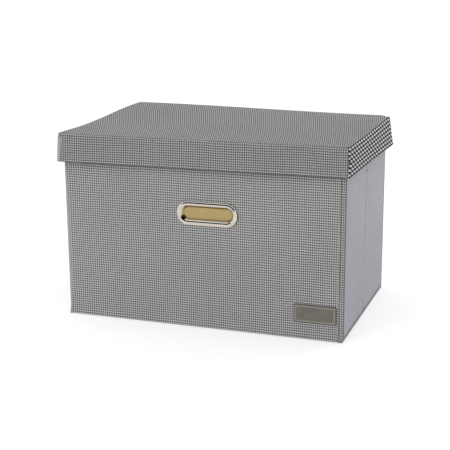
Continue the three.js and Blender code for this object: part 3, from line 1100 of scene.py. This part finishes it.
class BOX_OT_lid(bpy.types.Operator):
    """Cover the lid's top and skirts, turn its corner cloth and line it"""

    bl_idname = "storage_box.lid"
    bl_label = "Lid"

    def execute(self, context):
        lid = LidFrame()
        half = lid.half
        shell = lid_shell(lid)
        round_lid(shell, lid)
        top_depth, lining_seed = 0.001, 31

        def part_of(face):
            x, y, z = face.calc_center_median()
            if z > lid.top_z - top_depth:
                return "top"
            if abs(x) - half[0] > abs(y) - half[1]:
                return "right_skirt" if x > 0 else "left_skirt"
            return "front_skirt" if y < 0 else "back_skirt"

        def along_end(co):
            """Place along an end's skirt, counted on round its corners"""
            return co.y + math.copysign(max(0.0, half[0] - abs(co.x)), co.y), co.z

        for part, material, cut, unfold in (
            ("top", "top", 2 * half[0], laid_askew),
            ("front_skirt", "skirt", 2 * half[0], lambda co: (drawn_out(co.x), co.z)),
            ("back_skirt", "skirt", 2 * half[0], lambda co: (-co.x, co.z)),
            ("right_skirt", "bold", 2 * half[1], along_end),
            ("left_skirt", "bold", 2 * half[1], along_end),
        ):
            bm = shell.copy()
            gone = [face for face in bm.faces if part_of(face) != part]
            bmesh.ops.delete(bm, geom=gone, context="FACES")
            write_uv(bm, unfold)
            area = sum(face.calc_area() for face in bm.faces)
            wave_lid(bm, lid)
            base = "lid_" + part
            obj = finish_piece(object_from(bm, base + "_cover"), material, base + "_cloth", "lid")
        shell.free()
        self.make_corner(lid)
        make_lining("lid_lining_sheet", lid.top, "lid_top", "lid", lining_seed)
        return {"FINISHED"}

    def make_corner(self, lid):
        """Plain cloth turned round the front left corner of the skirt"""
        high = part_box("lid_left_corner_binding")[1]
        proud, radius, gap, thickness, rows = 0.0006, LID_ROUND, 0.0002, 0.0005, 9
        tucked, overlap = 0.6, 1.3
        left, front = lid.half
        section = [(high.x + left, -front - proud * tucked)]
        section += arc((radius - proud, radius - front - proud), radius, 270, 180, 5)
        section.append((-proud, radius * overlap - front))
        bm = bmesh.new()
        grid = []
        for j in range(rows + 1):
            z = high.z - gap + (lid.hem - high.z) * j / rows
            spread = lid.flare * lid.down(z)
            grid.append([bm.verts.new((x - left - spread, y - spread, z)) for x, y in section])
        join_rows(bm, grid)
        bm.normal_update()
        write_uv(bm, lambda co: (co.x - co.y, co.z))
        node = "lid_left_corner_binding"
        cloth_piece(bm, Matrix(), "lid_corner_turning", thickness, "plain", node, "lid")


# The pull and the patch


def stadium_loft(bm, profile, straight, radius):
    """Sweeps a closed section of (offset, c) points round a stadium whose own outline has offset 0"""
    steps, least = 20, 1e-5
    rings = []
    for offset, c in (*profile, profile[0]):
        size = max(radius + offset, least)
        outline = arc((straight / 2, 0), size, -90, 90, steps) + arc((-straight / 2, 0), size, 90, 270, steps)
        rings.append([bm.verts.new((x, y, c)) for x, y in outline])
    join_rows(bm, rings, closed=True)
    bmesh.ops.remove_doubles(bm, verts=bm.verts, dist=2 * least)


class BOX_OT_pull(bpy.types.Operator):
    """The polished rim and the gilt dish of the pull"""

    bl_idname = "storage_box.pull"
    bl_label = "Pull"

    def execute(self, context):
        panel = wall_frame("front")
        behind = 0.0002
        self.make_rim(panel, panel.depth + behind)
        self.make_dish(panel)
        return {"FINISHED"}

    def finish(self, bm, panel, name, material, node):
        """Sets a part of the pull in its place, with true folds between its slopes"""
        (x, y), _, _ = pull_hole(panel, 0.0)
        bmesh.ops.recalc_face_normals(bm, faces=bm.faces)
        bm.transform(panel.matrix @ Matrix.Translation((x, y, 0)))
        obj = object_from(bm, name)
        obj.data.set_sharp_from_angle(angle=FACET_ANGLE)
        finish_piece(obj, material, node, "front_wall")

    def make_rim(self, panel, back):
        """Section from outside in: a flat lip, two slopes with a crown between them, then a steeper throat"""
        _, straight, radius = pull_hole(panel, 0.0)
        (left, right), _, (_, front) = panel.span("pull_rim")
        rolled_in = 0.0007
        band = (right - left) / 2 - straight / 2 - radius - rolled_in
        lip, lip_rise, slope, steepness = 0.0011, 0.0006, 0.0013, 0.68
        inner_slope, throat, sheet, soft = 0.0012, 0.0013, 0.0004, 0.0003
        crown = front + sheet
        lip_top = crown - slope * steepness - soft / 2
        slope_foot = -soft
        foot_c = crown - inner_slope * steepness - soft / 2
        mouth = slope_foot - throat
        profile = [(band - soft, back), (band, back + lip_rise / 2), (band - soft / 2, lip_top)]
        profile += [(band - lip + soft / 2, lip_top), (band - lip - soft / 2, lip_top + soft / 2)]
        profile += [(band - lip - slope, crown - soft / 3), (band - lip - slope - soft, crown)]
        profile += [(slope_foot + inner_slope + soft, crown), (slope_foot + inner_slope, crown - soft / 3)]
        profile += [(slope_foot + soft / 4, foot_c), (slope_foot - soft / 4, foot_c - soft / 4)]
        profile += [(mouth, foot_c - throat), (mouth + sheet / 2, foot_c - throat - sheet)]
        profile += [(sheet, foot_c - sheet), (sheet, back), (band / 2, back)]
        bm = bmesh.new()
        stadium_loft(bm, profile, straight, radius)
        self.add_prongs(bm, panel, radius, back)
        self.finish(bm, panel, "pull_rim_polished", "rim", "pull_rim")

    def add_prongs(self, bm, panel, radius, back):
        """Four shanks with bent feet on the clamp ring behind the wall"""
        sheet, wide, spacing, foot = 0.0006, 0.004, 0.036, 0.0012
        outside, gap, root = 0.0035, 0.0003, 0.0005
        foot_c = panel.span("pull_clamp_ring")[2][0] - gap - sheet
        for x in (-spacing / 2, spacing / 2):
            for side in (-1, 1):
                y = side * (radius + outside)
                shank = ((x, y, (foot_c + back + root) / 2), (wide, sheet, back + root - foot_c))
                bent = ((x, y + side * foot / 2, foot_c + sheet / 2), (wide, foot, sheet))
                for middle, size in (shank, bent):
                    matrix = Matrix.Translation(middle) @ Matrix.Diagonal((*size, 1))
                    bmesh.ops.create_cube(bm, size=1, matrix=matrix)

    def make_dish(self, panel):
        """A pressed tray: flange, sloping wall with a soft foot, and a slightly crowned floor"""
        _, straight, radius = pull_hole(panel, 0.0)
        back, front = panel.span("pull_dish")[2]
        sheet, flange, clear = 0.0006, 0.0028, 0.002
        start, foot, soft, crown, crown_share = -0.0008, -0.0034, 0.00015, 0.0002, 0.8
        floor_c = back + sheet + clear
        inner = [(flange, front), (start, front)]
        inner += [(foot + soft, floor_c + soft), (foot, floor_c + soft / 4), (foot - soft, floor_c)]
        inner += [(-radius * crown_share, floor_c + crown), (-radius, floor_c + crown)]
        outer = [(-radius, floor_c - sheet), (foot, floor_c - sheet)]
        outer += [(start, front - sheet), (flange, front - sheet)]
        bm = bmesh.new()
        stadium_loft(bm, inner + outer, straight, radius)
        self.finish(bm, panel, "pull_dish_gilt", "dish", "pull_dish")


class BOX_OT_patch(bpy.types.Operator):
    """The bare leatherette patch with its pressed line"""

    bl_idname = "storage_box.patch"
    bl_label = "Patch"

    def execute(self, context):
        panel = PanelFrame(["front_patch"], (0, -1, 0))
        corner, step, pebble, pebble_scale = 0.0018, 0.0006, 0.00006, 180.0
        edge_drop, edge_width, dark_to, dark_fade = 0.0006, 0.0012, 0.0004, 0.0007
        groove_in, groove_width, groove_depth = 0.0029, 0.00035, 0.00018
        line_in, line_width = 0.0025, 0.0005
        inner = [size - corner for size in panel.half]
        bm = bmesh.new()
        line = bm.verts.layers.float.new("patch_line")
        edge = bm.verts.layers.float.new("patch_edge")
        grid = flat_grid(bm, panel.half, step)
        start = rim_loop(grid)
        for vertex in bm.verts:
            x, y = vertex.co.xy
            room = room_at(x, y, panel.half)
            if abs(x) > inner[0] and abs(y) > inner[1]:
                room = max(0.0, corner - math.hypot(abs(x) - inner[0], abs(y) - inner[1]))
            groove = groove_depth * peak(room - groove_in, groove_width)
            vertex.co.z = panel.depth - edge_drop * (1 - fade(room, edge_width)) - groove
            vertex.co.z += pebble * ripple(x, y, 41, pebble_scale)
            vertex[line] = peak(room - line_in, line_width)
            # patch_edge is 1 at the edge and fades to 0 from 0.4 to 1.1 mm inside it, darkening the colour
            # there
            vertex[edge] = 1 - fade(room - dark_to, dark_fade)
        for vertex in add_ring(bm, start, [vertex for vertex, _ in start], panel.half, 0.0, 0.0):
            vertex[edge] = 1.0
        for vertex in bm.verts:
            dx, dy = (abs(value) - size for value, size in zip(vertex.co.xy, inner))
            reach = math.hypot(dx, dy)
            if dx > 0 and dy > 0 and reach > corner:
                vertex.co.x = math.copysign(inner[0] + dx * corner / reach, vertex.co.x)
                vertex.co.y = math.copysign(inner[1] + dy * corner / reach, vertex.co.y)
        bm.normal_update()
        bm.transform(panel.matrix)
        obj = object_from(bm, "front_patch_leatherette")
        finish_piece(obj, "patch", "front_patch", "front_wall")
        return {"FINISHED"}


class BOX_OT_stitches(bpy.types.Operator):
    """Rows of stitches on the hems, the wall tops and the patch"""

    bl_idname = "storage_box.stitches"
    bl_label = "Stitches"

    def execute(self, context):
        self.patch_row()
        self.lid_rows()
        self.wall_rows()
        return {"FINISHED"}

    def patch_row(self):
        """One closed row inside the patch's edge"""
        panel = PanelFrame(["front_patch"], (0, -1, 0))
        inset, sunk = 0.0012, 0.0001
        a, b = (size - inset for size in panel.half)
        corners = ((-a, -b), (a, -b), (a, b), (-a, b))
        points = [panel.place(x, y, panel.depth - sunk) for x, y in corners]
        sizes = {"spacing": 0.0024, "stitch": 0.0017, "radius": 0.00022}
        make_stitches("patch_stitches", [(points, True)], "front_wall", **sizes)

    def lid_rows(self):
        """Rows at the hem and the top of the lid's front and back skirts"""
        lid = LidFrame()
        inset, gap, proud = 0.004, 0.004, 0.0001
        lines = []
        for z in (lid.hem + inset, lid.top_z - inset):
            x, y = (size + lid.flare * lid.down(z) for size in lid.half)
            for side in (-1, 1):
                line = [(end * (x - gap), side * (y + proud), z) for end in (-1, 1)]
                lines.append((line, False))
        make_stitches("lid_stitches", lines, "lid")

    def wall_rows(self):
        """One row along the top of each wall"""
        inset = 0.004
        for name in WALLS:
            panel = wall_frame(name)
            a, b = (size - inset for size in panel.half)
            line = [panel.place(end * a, b, panel.depth) for end in (-1, 1)]
            make_stitches(name + "_stitches", [(line, False)], wall_base(name))


class BOX_OT_boards(bpy.types.Operator):
    """Give the boards and the clamp ring, which keep their own shapes, their finishes"""

    bl_idname = "storage_box.boards"
    bl_label = "Boards and clamp"

    def execute(self, context):
        for name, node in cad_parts.items():
            if name.endswith("_board") or name == "pull_clamp_ring":
                material = material_named("board" if name.endswith("_board") else "clamp")
                for place in node.material_slots:
                    place.material = material
        return {"FINISHED"}


class BOX_OT_stage(bpy.types.Operator):
    """Floor, sky, lamps and the photograph's camera"""

    bl_idname = "storage_box.stage"
    bl_label = "Stage"

    def execute(self, context):
        settings = context.scene.box_stage
        self.make_floor(settings)
        self.make_sky(settings)
        self.make_lamp("Key", place=(-1.1, -1.9, 1.2), size=1.4, power=settings.key_power)
        self.make_lamp("Fill", place=(0.85, 1.1, 0.5), size=0.6, power=settings.fill_power)
        self.make_flag()
        self.make_camera(context)
        context.scene.view_settings.view_transform = "Standard"
        return {"FINISHED"}

    def seen_or_mirrored(self, nodes):
        """1 for rays that show the background to the camera, in metal or through glass"""
        path = nodes.add("ShaderNodeLightPath").outputs
        seen = nodes.calc("MAXIMUM", path["Is Camera Ray"], path["Is Glossy Ray"])
        return nodes.calc("MAXIMUM", seen, path["Is Transmission Ray"])

    def make_floor(self, settings):
        """A pale floor that glows towards the camera up to white and still shows the box's soft shadow"""
        bm = bmesh.new()
        bmesh.ops.create_circle(bm, cap_ends=True, segments=96, radius=9.0)
        floor = object_from(bm, "floor", smooth=False)
        material, nodes, shader = new_material("Floor", 1.0, specular=0.0)
        seen = self.seen_or_mirrored(nodes)
        dimmed = tint(settings.floor, settings.shadow_share)
        nodes.fill(shader, {
            "Base Color": nodes.mix(seen, tint(settings.floor), dimmed),
            "Emission Color": (1, 1, 1, 1),
            "Emission Strength": nodes.calc("MULTIPLY", seen, settings.floor_glow),
        })
        floor.data.materials.append(material)

    def make_sky(self, settings):
        """Even light from all round, and a white backdrop"""
        world = bpy.data.worlds.new("Studio")
        bpy.context.scene.world = world
        world.use_nodes = True
        nodes = NodeTree(world.node_tree)
        white = nodes.calc("SUBTRACT", 1.0, settings.sky_strength)
        seen = self.seen_or_mirrored(nodes)
        strength = nodes.calc("MULTIPLY_ADD", seen, white, settings.sky_strength)
        nodes.fill(world.node_tree.nodes["Background"], {"Color": (1, 1, 1, 1), "Strength": strength})

    def make_flag(self):
        """A curved black flag above the camera, seen only as a dark line in the polished metal"""
        radius, low_angle, high_angle, step = 2.4, -75, 115, 5
        middle, narrow, widening, widens_at, widens_over = 42.5, 12.0, 11.0, -20, 60
        bm = bmesh.new()
        pairs = []
        for azimuth in range(low_angle, high_angle + 1, step):
            half = narrow + widening * fade(azimuth - widens_at, widens_over)
            ends = (self.toward(azimuth, middle - half), self.toward(azimuth, middle + half))
            pairs.append([bm.verts.new(end * radius) for end in ends])
        join_rows(bm, pairs)
        flag = object_from(bm, "flag")
        material, nodes, shader = new_material("Black flag", 1.0, specular=0.0)
        nodes.fill(shader, {"Base Color": (0, 0, 0, 1)})
        flag.data.materials.append(material)
        flag.visible_camera = False
        flag.visible_diffuse = False
        flag.visible_shadow = False

    def toward(self, azimuth, elevation):
        """The way from the box to a place round it, azimuth from the front, both in degrees"""
        azimuth, elevation = math.radians(azimuth), math.radians(elevation)
        level = math.cos(elevation)
        return Vector((level * math.sin(azimuth), -level * math.cos(azimuth), math.sin(elevation)))

    def make_lamp(self, name, place, size, power):
        """A soft square lamp that the polished metal doesn't show"""
        lamp = bpy.data.lights.new(name, "AREA")
        lamp.energy = power
        lamp.size = size
        obj = bpy.data.objects.new(name, lamp)
        bpy.context.collection.objects.link(obj)
        obj.location = place
        aim = Vector(LAMP_TARGET) - Vector(place)
        obj.rotation_euler = aim.to_track_quat("-Z", "Y").to_euler()
        obj.visible_glossy = False

    def make_camera(self, context):
        """The photograph's camera, at its place and with its slight roll"""
        camera = bpy.data.cameras.new("Camera")
        camera.sensor_width = SENSOR_WIDTH
        camera.lens = SENSOR_WIDTH * PHOTO_FOCAL / PHOTO_SIZE
        obj = bpy.data.objects.new("Camera", camera)
        context.collection.objects.link(obj)
        back = self.toward(PHOTO_AZIMUTH, PHOTO_ELEVATION)
        obj.location = Vector(PHOTO_TARGET) + back * PHOTO_DISTANCE
        turn = (-back).to_track_quat("-Z", "Y").to_matrix().to_4x4()
        roll = Matrix.Rotation(math.radians(PHOTO_ROLL), 4, "Z")
        obj.rotation_euler = (turn @ roll).to_euler()
        context.scene.camera = obj


OPERATORS = (
    BOX_OT_walls,
    BOX_OT_base,
    BOX_OT_corners,
    BOX_OT_corner_strips,
    BOX_OT_creases,
    BOX_OT_lid,
    BOX_OT_pull,
    BOX_OT_patch,
    BOX_OT_stitches,
    BOX_OT_boards,
    BOX_OT_stage,
)


class BOX_PT_panel(bpy.types.Panel):
    """Lists the steps that dress the box"""

    bl_idname = "BOX_PT_panel"
    bl_label = "Storage box"
    bl_space_type = "VIEW_3D"
    bl_region_type = "UI"
    bl_category = "Storage box"

    def draw(self, context):
        for step in OPERATORS:
            self.layout.operator(step.bl_idname)
        for group in (context.scene.box_cloth, context.scene.box_pull, context.scene.box_stage):
            for name in group.bl_rna.properties.keys():
                if name not in ("rna_type", "name"):
                    self.layout.prop(group, name)


CLASSES = (ClothSettings, PullSettings, StageSettings, *OPERATORS, BOX_PT_panel)


def register():
    for item in CLASSES:
        bpy.utils.register_class(item)
    bpy.types.Scene.box_cloth = bpy.props.PointerProperty(type=ClothSettings)
    bpy.types.Scene.box_pull = bpy.props.PointerProperty(type=PullSettings)
    bpy.types.Scene.box_stage = bpy.props.PointerProperty(type=StageSettings)


def unregister():
    del bpy.types.Scene.box_cloth
    del bpy.types.Scene.box_pull
    del bpy.types.Scene.box_stage
    for item in reversed(CLASSES):
        bpy.utils.unregister_class(item)


def main():
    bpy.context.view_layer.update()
    register()
    for step in OPERATORS:
        group, name = step.bl_idname.split(".")
        getattr(getattr(bpy.ops, group), name)()


if __name__ == "__main__":
    main()
